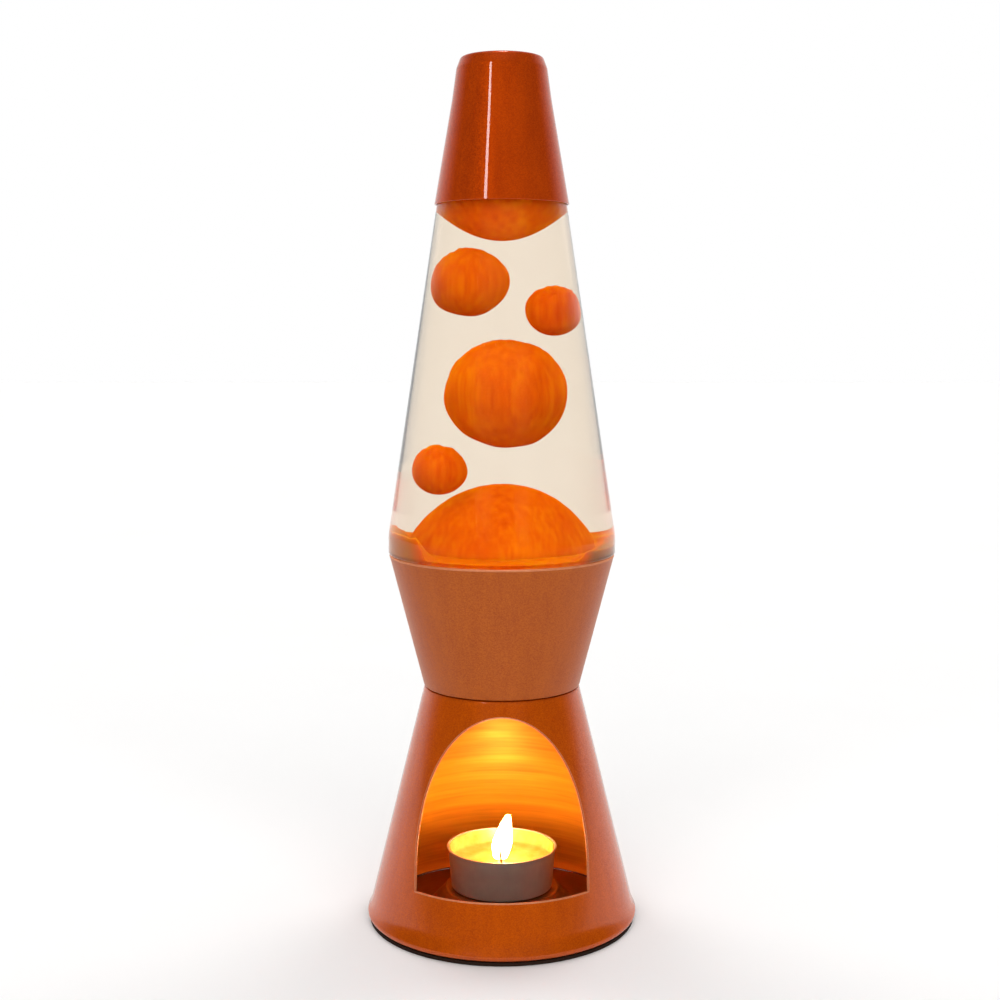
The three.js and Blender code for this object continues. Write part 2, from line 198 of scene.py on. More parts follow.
def tube(name, points, radius, closed=False, sides=6):
    """A round rod through points, from a bevelled curve turned into a mesh."""
    curve = bpy.data.curves.new(name, "CURVE")
    curve.dimensions = "3D"
    curve.bevel_depth = radius * MM
    curve.bevel_resolution = sides
    curve.use_fill_caps = not closed
    spline = curve.splines.new("POLY")
    spline.points.add(len(points) - 1)
    for p, point in zip(spline.points, points):
        p.co = (*(Vector(point) * MM), 1)
    spline.use_cyclic_u = closed
    holder = new_object(name + "_path", curve)
    bpy.context.view_layer.update()
    mesh = bpy.data.meshes.new_from_object(holder.evaluated_get(bpy.context.evaluated_depsgraph_get()))
    bpy.data.objects.remove(holder)
    thing = new_object(name, mesh)
    smooth(mesh, 50)
    return thing


def finish_piece(piece, body, material, slot, *nodes):
    """Says which body the piece rides on, what it replaces and what it is made of."""
    piece.data.materials.clear()
    piece.data.materials.append(material)
    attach(piece, body)
    if nodes:
        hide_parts(*nodes)
    return piece


# ---- Material helpers ----
class Tree:
    """A short way to write a material's nodes."""

    def __init__(self, name):
        self.material = bpy.data.materials.new(name)
        self.material.use_nodes = True
        self.nodes = self.material.node_tree.nodes
        self.links = self.material.node_tree.links
        self.nodes.clear()
        self.output = self.node("ShaderNodeOutputMaterial")
        self.place = self.node("ShaderNodeTexCoord").outputs["Object"]

    def node(self, kind, **inputs):
        """A new node. Inputs are named as the sockets are, with _ for a space, or numbered _0, _1."""
        made = self.nodes.new(kind)
        for key, value in inputs.items():
            self.set(made, key, value)
        return made

    def set(self, node, key, value):
        if hasattr(node, key) and key not in [s.name for s in node.inputs]:
            setattr(node, key, value)
            return
        numbered = key[0] == "_" and key[1:].isdigit()
        socket = node.inputs[int(key[1:]) if numbered else key.replace("_", " ")]
        if isinstance(value, bpy.types.NodeSocket):
            self.links.new(value, socket)
        else:
            socket.default_value = value

    def principled(self, **inputs):
        shader = self.node("ShaderNodeBsdfPrincipled", **inputs)
        self.links.new(shader.outputs[0], self.output.inputs["Surface"])
        return shader

    def maths(self, operation, a, b=0.0):
        return self.node("ShaderNodeMath", operation=operation, _0=a, _1=b).outputs[0]

    def stretched(self, x, y, z):
        """The object's coordinates, scaled by these numbers."""
        return self.node("ShaderNodeVectorMath", operation="MULTIPLY", _0=self.place, _1=(x, y, z)).outputs[0]

    def noise(self, where, detail=3.0, roughness=0.5):
        made = self.node("ShaderNodeTexNoise", Vector=where, Scale=1.0, Detail=detail, Roughness=roughness)
        return made.outputs["Fac"]

    def between(self, value, low, high, out_low, out_high):
        made = self.node("ShaderNodeMapRange", Value=value)
        made.inputs["From Min"].default_value = low
        made.inputs["From Max"].default_value = high
        made.inputs["To Min"].default_value = out_low
        made.inputs["To Max"].default_value = out_high
        return made.outputs[0]

    def ramp(self, value, *stops):
        made = self.node("ShaderNodeValToRGB", Fac=value)
        band = made.color_ramp
        while len(band.elements) < len(stops):
            band.elements.new(0.5)
        for element, (place, colour) in zip(band.elements, stops):
            element.position = place
            element.color = (*colour, 1)
        return made.outputs[0]

    def bump(self, height, strength, distance, normal=None):
        made = self.node("ShaderNodeBump", Strength=strength, Distance=distance * MM, Height=height)
        if normal is not None:
            self.links.new(normal, made.inputs["Normal"])
        return made.outputs[0]


def per_mm(size):
    """The scale that makes a texture's features about size millimetres, in an object measured in metres."""
    return 1000.0 / size


def metallic_paint(name, deep, bright, roughness, coat, coat_roughness):
    """Copper-orange flake lacquer under a clear coat: fine flakes, upright streaks, faint orange peel."""
    t = Tree(name)
    flakes = t.node("ShaderNodeTexVoronoi", Vector=t.place, Scale=per_mm(0.3)).outputs["Color"]
    shade = t.node("ShaderNodeSeparateColor", Color=flakes).outputs[0]
    mottle = t.noise(t.stretched(per_mm(14), per_mm(14), per_mm(22)), 4.0)
    streaks = t.noise(t.stretched(per_mm(4), per_mm(4), per_mm(160)), 4.0, 0.65)
    uneven = t.maths("ADD", t.maths("MULTIPLY", mottle, 0.3), t.maths("MULTIPLY", streaks, 0.7))
    tone = t.maths("ADD", t.maths("MULTIPLY", shade, 0.35), t.maths("MULTIPLY", uneven, 0.65))
    colour = t.ramp(tone, (0.25, deep), (0.75, bright))
    centred = t.node("ShaderNodeVectorMath", operation="SUBTRACT", _0=flakes, _1=(0.5, 0.5, 0.5)).outputs[0]
    tilt = t.node("ShaderNodeVectorMath", operation="SCALE", _0=centred, Scale=0.2).outputs[0]
    straight = t.node("ShaderNodeNewGeometry").outputs["Normal"]
    summed = t.node("ShaderNodeVectorMath", operation="ADD", _0=straight, _1=tilt).outputs[0]
    tilted = t.node("ShaderNodeVectorMath", operation="NORMALIZE", _0=summed).outputs[0]
    peel = t.bump(t.noise(t.stretched(per_mm(1.6), per_mm(1.6), per_mm(2.4)), 2.0), 0.05, 0.08)
    rough = t.between(mottle, 0.3, 0.7, roughness - 0.03, roughness + 0.05)
    shader = t.principled(Base_Color=colour, Roughness=rough, Normal=tilted)
    shader.inputs["Metallic"].default_value = 0.4
    shader.inputs["Specular IOR Level"].default_value = 0.0
    shader.inputs["Coat Weight"].default_value = coat
    shader.inputs["Coat Roughness"].default_value = coat_roughness
    shader.inputs["Coat IOR"].default_value = 1.43
    shader.inputs["Specular Tint"].default_value = (1.0, 0.5, 0.1, 1)
    t.links.new(peel, shader.inputs["Coat Normal"])
    return t.material


def spun_paint(name):
    """The lacquered inside of the base: fine spinning lines left under the paint."""
    t = Tree(name)
    lines = t.noise(t.stretched(per_mm(60), per_mm(60), per_mm(1.1)), 3.0, 0.6)
    bands = t.noise(t.stretched(per_mm(45), per_mm(45), per_mm(5)), 3.0, 0.55)
    tone = t.maths("ADD", t.maths("MULTIPLY", lines, 0.4), t.maths("MULTIPLY", bands, 0.6))
    colour = t.ramp(tone, (0.3, (0.56, 0.16, 0.006)), (0.55, (0.78, 0.27, 0.012)), (0.75, (0.9, 0.36, 0.025)))
    normal = t.bump(tone, 0.35, 0.25)
    shader = t.principled(Base_Color=colour, Roughness=t.between(tone, 0.3, 0.7, 0.5, 0.36), Normal=normal)
    shader.inputs["Metallic"].default_value = 0.2
    shader.inputs["Specular IOR Level"].default_value = 0.3
    return t.material


def tray_metal(name):
    t = Tree(name)
    flat = t.node("ShaderNodeVectorMath", operation="MULTIPLY", _0=t.place, _1=(1, 1, 0)).outputs[0]
    far = t.node("ShaderNodeVectorMath", operation="LENGTH", _0=flat).outputs["Value"]
    step = t.maths("MULTIPLY", far, per_mm(0.9))
    rings = t.node("ShaderNodeTexNoise", noise_dimensions="1D", W=step, Scale=1.0, Detail=3.0).outputs["Fac"]
    stains = t.noise(t.stretched(per_mm(9), per_mm(9), per_mm(9)), 4.0)
    tone = t.maths("ADD", t.maths("MULTIPLY", rings, 0.45), t.maths("MULTIPLY", stains, 0.55))
    colour = t.ramp(tone, (0.3, (0.09, 0.026, 0.006)), (0.7, (0.2, 0.07, 0.018)))
    shader = t.principled(Base_Color=colour, Roughness=t.between(stains, 0.3, 0.7, 0.32, 0.5),
                          Normal=t.bump(rings, 0.25, 0.12))
    shader.inputs["Metallic"].default_value = 0.6
    return t.material


def clear_glass(name):
    t = Tree(name)
    ripple = t.bump(t.noise(t.stretched(per_mm(16), per_mm(16), per_mm(40)), 1.0), 0.04, 0.25)
    shader = t.principled(Base_Color=(0.985, 0.98, 0.965, 1), Normal=ripple)
    shader.inputs["Roughness"].default_value = 0.0
    shader.inputs["IOR"].default_value = 1.5
    shader.inputs["Specular Tint"].default_value = (0.05, 0.05, 0.05, 1)
    shader.inputs["Transmission Weight"].default_value = 1.0
    return t.material


def clear_liquid(name):
    """Clear oil with a cream tint that is slightly uneven."""
    t = Tree(name)
    cloud = t.noise(t.stretched(per_mm(30), per_mm(30), per_mm(50)), 2.0)
    colour = t.ramp(cloud, (0.3, (0.87, 0.755, 0.63)), (0.7, (0.89, 0.785, 0.67)))
    shader = t.principled(Base_Color=colour)
    shader.inputs["Roughness"].default_value = 0.0
    shader.inputs["IOR"].default_value = 1.35
    shader.inputs["Specular Tint"].default_value = (0.03, 0.03, 0.03, 1)
    shader.inputs["Transmission Weight"].default_value = 1.0
    return t.material


def lava_wax(name, brightness_and_painted_light):
    """Warm translucent wax: upright streaks and mottling. Where it clings to the heel at the sides it is
    coloured darker and tan, yellower on the left and greyer on the right: painted shade and painted reflection,
    for the shaded cup wall and the glass's glare seen there.
    """
    t = Tree(name)
    streaks = t.noise(t.stretched(per_mm(1.8), per_mm(1.8), per_mm(70)), 4.0, 0.6)
    swirl = t.noise(t.stretched(per_mm(13), per_mm(13), per_mm(20)), 3.0)
    tone = t.maths("ADD", t.maths("MULTIPLY", streaks, 0.6), t.maths("MULTIPLY", swirl, 0.4))
    deep, middle, pale = (0.46, 0.05, 0.0002), (0.56, 0.094, 0.0003), (0.64, 0.165, 0.0004)
    # This scales every wax colour; the larger value given for the top mass is painted light, making it look
    # more lit than the same wax below.
    deep, middle, pale = [tuple(c * brightness_and_painted_light for c in colour) for colour in (deep, middle, pale)]
    full = t.ramp(tone, (0.32, deep), (0.5, middle), (0.68, pale))
    apart = t.node("ShaderNodeSeparateXYZ", Vector=t.place).outputs
    aside, height = apart[0], apart[2]
    across = t.between(aside, -34 * MM, 34 * MM, 0.0, 1.0)
    # Painted shade and reflection: the heel band's colour, darker and duller, changing from left to right.
    heel_shade_colour = t.ramp(across, (0.0, (0.4, 0.12, 0.004)), (1.0, (0.28, 0.11, 0.02)))
    outer = t.between(t.maths("ABSOLUTE", aside), 26 * MM, 30 * MM, 0.0, 1.0)
    above_heel = t.between(height, 129.5 * MM, 131 * MM, 0.0, 1.0)
    below_blobs = t.between(height, 141 * MM, 142 * MM, 1.0, 0.0)
    heel_shade_mask = t.maths("MULTIPLY", outer, t.maths("MULTIPLY", above_heel, below_blobs))
    colour = t.node("ShaderNodeMixRGB", Fac=heel_shade_mask, Color1=full, Color2=heel_shade_colour).outputs[0]
    grain = t.bump(t.noise(t.stretched(per_mm(1.1), per_mm(1.1), per_mm(1.1)), 2.0), 0.08, 0.1)
    shader = t.principled(Base_Color=colour, Normal=grain)
    shader.inputs["Roughness"].default_value = 0.45
    shader.inputs["Subsurface Weight"].default_value = 0.9
    shader.inputs["Subsurface Radius"].default_value = (1.0, 0.4, 0.06)
    shader.inputs["Subsurface Scale"].default_value = 9 * MM
    shader.inputs["Specular IOR Level"].default_value = 0.0
    return t.material


def aluminium_foil(name):
    """Thin drawn aluminium: vertical draw lines and a little dullness."""
    t = Tree(name)
    draw = t.noise(t.stretched(per_mm(0.5), per_mm(0.5), per_mm(14)), 3.0, 0.6)
    dull = t.noise(t.stretched(per_mm(5), per_mm(5), per_mm(5)), 4.0)
    colour = t.ramp(dull, (0.25, (0.4, 0.37, 0.31)), (0.75, (0.45, 0.42, 0.35)))
    shader = t.principled(Base_Color=colour, Roughness=t.between(draw, 0.3, 0.7, 0.42, 0.55),
                          Normal=t.bump(draw, 0.2, 0.06))
    shader.inputs["Metallic"].default_value = 0.7
    return t.material


def plated_steel(name):
    t = Tree(name)
    brushed = t.noise(t.stretched(per_mm(0.4), per_mm(0.4), per_mm(3)), 3.0, 0.6)
    colour = t.ramp(brushed, (0.3, (0.5, 0.47, 0.43)), (0.7, (0.7, 0.67, 0.62)))
    shader = t.principled(Base_Color=colour, Roughness=t.between(brushed, 0.3, 0.7, 0.22, 0.4),
                          Normal=t.bump(brushed, 0.15, 0.04))
    shader.inputs["Metallic"].default_value = 1.0
    return t.material


def candle_wax(name):
    t = Tree(name)
    cloud = t.noise(t.stretched(per_mm(4), per_mm(4), per_mm(4)), 4.0)
    colour = t.ramp(cloud, (0.3, (0.42, 0.18, 0.035)), (0.7, (0.5, 0.26, 0.08)))
    shader = t.principled(Base_Color=colour, Normal=t.bump(cloud, 0.1, 0.2))
    shader.inputs["Roughness"].default_value = 0.25
    shader.inputs["Subsurface Weight"].default_value = 0.7
    shader.inputs["Subsurface Radius"].default_value = (1.0, 0.6, 0.25)
    shader.inputs["Subsurface Scale"].default_value = 5 * MM
    return t.material


def plain_rough(name, dark, light, roughness, size):
    """Foam, card and cotton: a grainy matt surface."""
    t = Tree(name)
    grain = t.noise(t.stretched(per_mm(size), per_mm(size), per_mm(size)), 5.0, 0.65)
    colour = t.ramp(grain, (0.3, dark), (0.7, light))
    shader = t.principled(Base_Color=colour, Normal=t.bump(grain, 0.5, size * 0.4))
    shader.inputs["Roughness"].default_value = roughness
    shader.inputs["Specular IOR Level"].default_value = 0.1
    return t.material


def flame_light(name, strength, hot, warm):
    """The flame: amber at the wick and the tip, and nearly white between."""
    t = Tree(name)
    height = t.node("ShaderNodeSeparateXYZ", Vector=t.place).outputs[2]
    foot, tip = FLAME_FOOT * MM, (FLAME_FOOT + FLAME_HEIGHT) * MM
    along = t.between(height, foot, tip, 0.0, 1.0)
    colour = t.ramp(along, (0.0, warm), (0.25, hot), (0.75, hot), (1.0, warm))
    light = t.node("ShaderNodeEmission", Color=colour)
    light.inputs["Strength"].default_value = strength
    t.links.new(light.outputs[0], t.output.inputs["Surface"])
    return t.material


# ---- Base ----
def window_outline(steps=72):
    """The window's edge in X and Z, anticlockwise from the sill's left end."""
    points = [(-WINDOW_HALF_WIDTH, WINDOW_SILL), (WINDOW_HALF_WIDTH, WINDOW_SILL)]
    for k in range(steps + 1):
        turn = math.pi * k / steps
        points.append((WINDOW_HALF_WIDTH * math.cos(turn), WINDOW_SPRING + WINDOW_ARCH * math.sin(turn)))
    return points


def window_cutter():
    outline = window_outline()
    near, far = -70.0, -5.0
    verts = [Vector((x, y, z)) * MM for y in (near, far) for x, z in outline]
    count = len(outline)
    faces = [tuple(range(count)), tuple(range(2 * count - 1, count - 1, -1))]
    faces += [(i, i + count, (i + 1) % count + count, (i + 1) % count) for i in range(count)]
    mesh = bpy.data.meshes.new("window_cutter")
    mesh.from_pydata(verts, [], faces)
    tidy_normals(mesh)
    return new_object("window_cutter", mesh)


def rows(start, end, count):
    """Points along a straight side, so that the cut round the window falls on small faces."""
    return [(start[0] + (end[0] - start[0]) * k / count, start[1] + (end[1] - start[1]) * k / count)
            for k in range(1, count)]


def base_shell(paint, inside):
    bead_r, bead_z, bead = 45.95, 3.1, 1.6
    outside = [(bead_r + bead * math.cos(a), bead_z + bead * math.sin(a))
               for a in [math.radians(-90 + 13 * k) for k in range(11)]]
    foot = (base_radius(6.5), 6.5)
    head = (base_radius(BASE_TOP - 1.2), BASE_TOP - 1.2)
    inner_head = (head[0] - SHEET, head[1] - 0.4)
    inner_foot = (foot[0] - SHEET, foot[1])
    top = rounded([(*head, 0), (base_radius(BASE_TOP), BASE_TOP, 0.8), (HEAT_OPENING, BASE_TOP, 0.25),
                   (HEAT_OPENING, BASE_TOP - SHEET, 0.25), (inner_head[0] + 0.1, BASE_TOP - SHEET, 0.5),
                   (*inner_head, 0)])
    outline = outside + [foot] + rows(foot, head, 40) + [tuple(p) for p in top]
    outline += rows(inner_head, inner_foot, 40)
    outline += [inner_foot, (bead_r - 0.7, bead_z + 1.1), (bead_r - 1.3, bead_z - 0.6)]
    shell = revolve("base_shell", outline, 224)
    cutter = window_cutter()
    hole = shell.modifiers.new("window", "BOOLEAN")
    hole.operation = "DIFFERENCE"
    hole.solver = "EXACT"
    hole.object = cutter
    applied(shell)
    bpy.data.objects.remove(cutter)
    smooth(shell.data)
    finish_piece(shell, "base", paint, "gloss_paint", "base_cone")
    shell.data.materials.append(inside)
    for face in shell.data.polygons:
        middle = face.center / MM
        facing_axis = face.normal.x * middle.x + face.normal.y * middle.y < 0
        if facing_axis and 2.0 < middle.z < BASE_TOP - 0.5:
            face.material_index = 1
    return shell


def window_edge(paint):
    """The deburred, painted edge of the sheet all round the window, in a paler lacquer that is a painted
    highlight along the edge.
    """
    outline = []
    corners = window_outline()
    for (x, z), (x2, z2) in zip(corners, corners[1:] + corners[:1]):
        steps = max(1, int(math.hypot(x2 - x, z2 - z) / 1.2))
        outline += [(x + (x2 - x) * k / steps, z + (z2 - z) * k / steps) for k in range(steps)]
    points = []
    for x, z in outline:
        radius = base_radius(z) - SHEET / 2
        points.append((x, -math.sqrt(radius**2 - x**2), z))
    edge = tube("window_edge", points, 0.43, closed=True, sides=3)
    return finish_piece(edge, "base", paint, "gloss_paint")


def edge_ring(name, radius, z, thickness, paint):
    """The edge of a turned sheet in a paler lacquer: a painted highlight along the edge."""
    points = [(radius * math.sin(2 * math.pi * k / FINE), -radius * math.cos(2 * math.pi * k / FINE), z)
              for k in range(FINE)]
    ring = tube(name, points, thickness, closed=True, sides=3)
    return finish_piece(ring, "base", paint, "satin_paint")


def waist_shell(paint):
    foot, rim = CUP_FOOT, CUP_RIM
    outline = rounded([
        (HEAT_OPENING, foot, 0.25),
        (cup_radius(foot), foot, 0.8),
        (cup_radius(rim), rim, 0.35),
        (cup_radius(rim) - SHEET, rim, 0.35),
        (cup_radius(foot) - SHEET, foot + SHEET, 1.2),
        (HEAT_OPENING, foot + SHEET, 0.25),
    ], 8)
    return finish_piece(revolve("waist_shell", outline), "base", paint, "satin_paint", "waist_cup")


def pressed_tray(metal):
    """A sheet on the floor of the base, pressed up in the middle to hold the tealight."""
    foot, top = low("floor_tray")[2], high("floor_tray")[2]
    boss_top, boss_foot = 20.0, 27.5
    outline = rounded([
        (0, top, 0),
        (boss_top, top, 1.0),
        (boss_foot, foot + SHEET, 1.2),
        (TRAY_RADIUS, foot + SHEET, 0.3),
        (TRAY_RADIUS, foot, 0.3),
        (boss_foot - 0.4, foot, 1.2),
        (boss_top - 0.4, top - SHEET, 1.0),
        (0, top - SHEET, 0),
    ])
    return finish_piece(revolve("pressed_tray", outline), "base", metal, "tray_metal", "floor_tray")


def foam_foot(foam):
    radius, top = high("foot_pad")[0], high("foot_pad")[2]
    outline = rounded([(0, 0, 0), (radius, 0, 0.35), (radius, top, 0.25), (0, top, 0)])

    def uneven(v):
        swell = noise.noise(v * 0.25) * 0.12
        far = math.hypot(v.x, v.y)
        if far < radius - 1:
            return v
        return Vector((v.x * (far - abs(swell)) / far, v.y * (far - abs(swell)) / far, v.z))

    piece = revolve("foam_foot", outline, warp=uneven)
    return finish_piece(piece, "base", foam, "black_rubber", "foot_pad")


# ---- Bottle and what it holds ----
def bottle_inside():
    """The bottle's inner outline, from the mouth down to the middle of its floor."""
    return [
        (9.5, high("glass_bottle")[2], 0.5),
        (9.5, 263.2, 2.0),
        (bottle_radius(254.8) - GLASS, 254.8, 5.0),
        (37.42, 136.4, 10.0),
        (37.5, 131.3, 1.5),
        (heel_radius(129) - GLASS, 128.6, 2.0),
        (heel_radius(90) - GLASS, 89.6, 2.2),
        (21.6, 89.6, 1.2),
        (18.4, 90.9, 3.0),
        (0, 91.4, 0),
    ]


def glass_bottle(glass):
    outline = rounded([
        (0, 89, 0),
        (20.6, 88.4, 3.0),
        (22.7, 84.95, 1.0),
        (25.1, 84.95, 1.6),
        (heel_radius(129.9), 129.9, 0.7),
        (39.35, 130.3, 1.2),
        (39.3, 136.6, 12.0),
        (bottle_radius(255.2), 255.2, 5.0),
        (12.7, 262.4, 3.0),
        (12.7, 266.3, 0.4),
        (13.3, 266.7, 0.4),
        (13.3, high("glass_bottle")[2], 0.9),
        *bottle_inside(),
    ], 10)
    bottle = finish_piece(revolve("glass_body", outline), "bottle", glass, "glass", "glass_bottle")
    bottle.visible_shadow = False
    return bottle


def liquid(material):
    floor_radius = 26
    inside = []
    for r, z, rounding in bottle_inside()[2:]:
        inside.append((r + OVERLAP if r else 0, z - OVERLAP if r < floor_radius else z, rounding))
    top = [(0, LIQUID_LEVEL, 0), (bottle_radius(LIQUID_LEVEL) - GLASS - 2.2, LIQUID_LEVEL, 0.3)]
    outline = rounded(top + inside, 10)
    body = finish_piece(revolve("clear_liquid", outline), "bottle", material, "liquid", "carrier_fluid")
    body.visible_shadow = False
    return body


def waver(amount, size, seed):
    """A warp that makes a turned wax shape slightly uneven, as soft wax is."""
    def warp(v):
        push = noise.noise_vector(v / size + Vector((seed, seed * 2, seed * 3))) * amount
        return v + Vector((push.x, push.y, push.z * 0.6))
    return warp


def wax_blob(node, body, wax, seed):
    middle, size = centre(node), [b - a for a, b in zip(low(node), high(node))]
    mesh = bpy.data.meshes.new(node)
    work = bmesh.new()
    bmesh.ops.create_icosphere(work, subdivisions=5, radius=0.5)
    for vert in work.verts:
        place = Vector([c * s for c, s in zip(vert.co, size)])
        flow = noise.noise_vector(place / 9 + Vector((seed, 0, seed))) * (size[0] * 0.022)
        crest = max(0.0, vert.co.z / 0.5 - 0.25)  # the ripples grow towards the blob's top
        flow += noise.noise_vector(place / 1.6 + Vector((0, seed, seed))) * 0.85 * crest
        vert.co = (place + flow + Vector(middle)) * MM
    work.to_mesh(mesh)
    work.free()
    smooth(mesh, 180)
    return finish_piece(new_object(node.replace("wax_blob", "lava_drop"), mesh), body, wax, "wax", node)


def wax_pool_mound(wax):
    """The pool fills the bottle's foot, rises into a dome and clings to the glass at the sides."""
    dome_r, dome_z, dome_h, bed, level = 27.0, 115.0, 38.4, 131.3, 136.2
    start = math.asin((bed + 0.6 - dome_z) / dome_h)
    dome = [(dome_r * math.cos(a), dome_z + dome_h * math.sin(a))
            for a in [start + (math.pi / 2 - start) * k / 30 for k in range(30)]]
    gap = 0.12
    border_start, border_slope, border_tilt = 24.5, 3.0, 0.067
    skirt = rounded([
        (0, 91.75, 0), (18.3, 91.3, 2.0), (21.8, 90.1, 1.0), (heel_radius(91) - GLASS - gap, 90.4, 1.6),
        (heel_radius(128.6) - GLASS - gap, 128.6, 2.0), (37.5 - gap, bed, 1.5),
        (bottle_radius(level) - GLASS - gap, level, 0.6), (27.6, level - 0.3, 1.0), (26.2, bed, 1.0),
        (*dome[0], 0.6),
    ])
    outline = [tuple(p) for p in skirt] + dome[1:] + [(0, dome_z + dome_h)]

    def cling(v):
        """Keeps the raised border only at the sides, higher on the left, and roughens the dome a little."""
        far = math.hypot(v.x, v.y)
        push = noise.noise_vector(v / 16 + Vector((3, 6, 9))) * 0.5
        fine = noise.noise_vector(v / 2.4) * 0.16
        if far < 26 or v.z < bed:
            calm = 0.2 if v.z < bed else 1.0
            return v + Vector((push.x, push.y, push.z * 0.6 + fine.z)) * calm
        side = min(1.0, max(0.0, (abs(v.x) - border_start) / border_slope))
        ripple = 0.5 * noise.noise(Vector((v.x * 0.35, v.y * 0.35, 4))) - v.x * border_tilt
        return Vector((v.x, v.y, bed + (v.z - bed + ripple * min(1.0, (v.z - bed) / 2)) * side))

    return finish_piece(revolve("lava_pool", outline, FINE, cling, 60), "bottle", wax, "wax", "wax_pool")


def wax_top_mass(wax):
    lowest, curve, reach = 235.6, 0.038, 19.4
    dome = [(reach * k / 20, lowest + curve * (reach * k / 20) ** 2) for k in range(21)]
    side = bottle_radius(250.6) - GLASS - 0.35
    crown = rounded([
        (*dome[-1], 0), (side, 250.8, 0.6), (18.0, 254.2, 2.0), (15.6, 257.0, 0.6), (0, 257.3, 0),
    ])
    outline = dome[:-1] + [tuple(p) for p in crown]
    piece = revolve("lava_top", outline, 128, waver(0.15, 14, 5), 60)
    return finish_piece(piece, "bottle", wax, "wax", "wax_top")


def crown_closure(metal):
    """The crimped closure, with its skirt pressed into flutes."""
    top, skirt = high("crown_cap")[2], low("crown_cap")[2]
    flutes = 21
    outline = rounded([
        (0, top, 0), (13.0, top, 1.2), (14.2, top - 2.0, 1.2), (14.3, skirt, 0.1), (14.0, skirt, 0.1),
        (13.85, top - 1.9, 0.8), (12.8, top - 0.4, 0.6), (0, top - 0.4, 0),
    ], 5)

    def flute(v):
        far = math.hypot(v.x, v.y)
        if far < 12:
            return v
        drop = min(1.0, max(0.0, (top - 1.0 - v.z) / 4.0))
        swell = 1 + 0.021 * drop * math.cos(flutes * math.atan2(v.x, -v.y))
        return Vector((v.x * swell, v.y * swell, v.z))

    piece = revolve("crown_closure", outline, flutes * 12, flute)
    return finish_piece(piece, "bottle", metal, "steel", "crown_cap")


# ---- Cap ----
def cap_shell(paint):
    sheet = 0.6
    outline = rounded([
        (CAP_RIM_RADIUS - sheet, CAP_RIM, 0.15),
        (CAP_RIM_RADIUS, CAP_RIM, 0.3),
        (CAP_RIM_RADIUS - 0.2, CAP_RIM + 0.9, 0.5),
        (16.8, 284.0, 12.0),
        (15.35, 294.2, 3.2),
        (13.9, CAP_TOP, 1.5),
        (0, CAP_TOP, 0),
        (0, CAP_TOP - sheet, 0),
        (13.6, CAP_TOP - sheet, 1.2),
        (14.75, 294.1, 2.6),
        (16.2, 284.0, 12.0),
    ], 8)
    return finish_piece(revolve("cap_shell", outline), "cap", paint, "gloss_paint", "top_cap")


# ---- Tealight ----
def tealight_cup(metal):
    foot, rim = low("tealight_cup")[2], high("tealight_cup")[2]
    radius = high("tealight_cup")[0]
    floor_radius, sheet = 17.9, 0.25
    outline = rounded([
        (0, foot, 0), (floor_radius, foot, 0.8), (19.0, rim - 0.55, 0.3), (radius, rim - 0.5, 0.25),
        (radius, rim, 0.25), (radius - 0.7, rim, 0.25), (floor_radius - sheet, foot + sheet, 0.7),
        (0, foot + sheet, 0),
    ])

    def pressed(v):
        far = math.hypot(v.x, v.y)
        if far < 15:
            return v
        wave = 0.03 * noise.noise(Vector((math.atan2(v.y, v.x) * 6, v.z * 0.05, 0)))
        return Vector((v.x * (far + wave) / far, v.y * (far + wave) / far, v.z))

    piece = revolve("tealight_shell", outline, warp=pressed)
    return finish_piece(piece, "tealight", metal, "aluminium", "tealight_cup")


def tealight_candle(wax):
    """The candle: a shallow melted well round the wick and a film of wax left up the cup's wall."""
    foot, top = low("tealight_wax")[2], high("tealight_wax")[2]
    rim, wall = high("tealight_cup")[2] - 0.3, high("tealight_cup")[0] - 0.72
    outline = rounded([
        (0.75, foot, 0), (17.4, foot, 0.5), (wall, rim, 0.1), (wall - 0.45, rim, 0.1),
        (wall - 1.0, top + 0.6, 1.2), (13.0, top - 0.25, 3.0), (5.0, top - 0.7, 3.0), (1.6, top - 0.5, 0.8),
        (0.75, top - 0.1, 0.2),
    ])
    piece = revolve("candle", outline, 128, waver(0.08, 7, 9), 60)
    return finish_piece(piece, "tealight", wax, "candle_wax", "tealight_wax")


def wick(cotton):
    foot, top = low("tealight_wick")[2], high("tealight_wick")[2]
    points = []
    for k in range(25):
        t = k / 24
        bend = max(0.0, (t - 0.5) / 0.5)
        side = -0.7 * bend + 0.04 * math.sin(k * 1.9)
        forward = -4.7 * bend**0.5 + 0.04 * math.cos(k * 1.9)
        points.append((side, forward, foot + (top - foot) * t + bend))
    piece = tube("cotton_wick", points, 0.42, sides=4)
    return finish_piece(piece, "tealight", cotton, "wick", "tealight_wick")


FLAME_FOOT = 20.2
FLAME_HEIGHT = 15.8
FLAME_LEAN = 2.8


def flame_body(name, material):
    """A teardrop that leans to the right as it rises."""
    foot, tip = FLAME_FOOT, FLAME_FOOT + FLAME_HEIGHT
    outline = rounded([
        (0, foot, 0), (2.4, foot, 1.2), (3.7, foot + 5.2, 9.0), (1.9, tip - 3.2, 8.0), (0.8, tip, 0.9),
        (0, tip, 0),
    ], 10)

    def lean(v):
        t = (v.z - FLAME_FOOT) / FLAME_HEIGHT
        return Vector((v.x - 0.5 + FLAME_LEAN * t**1.4, v.y, v.z))

    piece = revolve(name, [tuple(p) for p in outline], 48, lean, 180)
    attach(piece, "tealight")
    piece.data.materials.append(material)
    return piece


# ---- Set ----
# The tent's brightness by the sine of the height above the horizon, in front of the lamp and behind it.
# In front it is dim, so gloss stays deep in the middle; behind, it is white, so gloss pales at the edges.
TENT_FRONT = ((0.0, 0.05), (0.75, 0.06), (1.0, 0.5))
TENT_BACK = ((0.0, 1.0), (0.45, 0.8), (1.0, 0.5))
TENT_EDGE = (0.05, 0.8)  # how far behind the lamp the white cloth begins, as a part of the direction


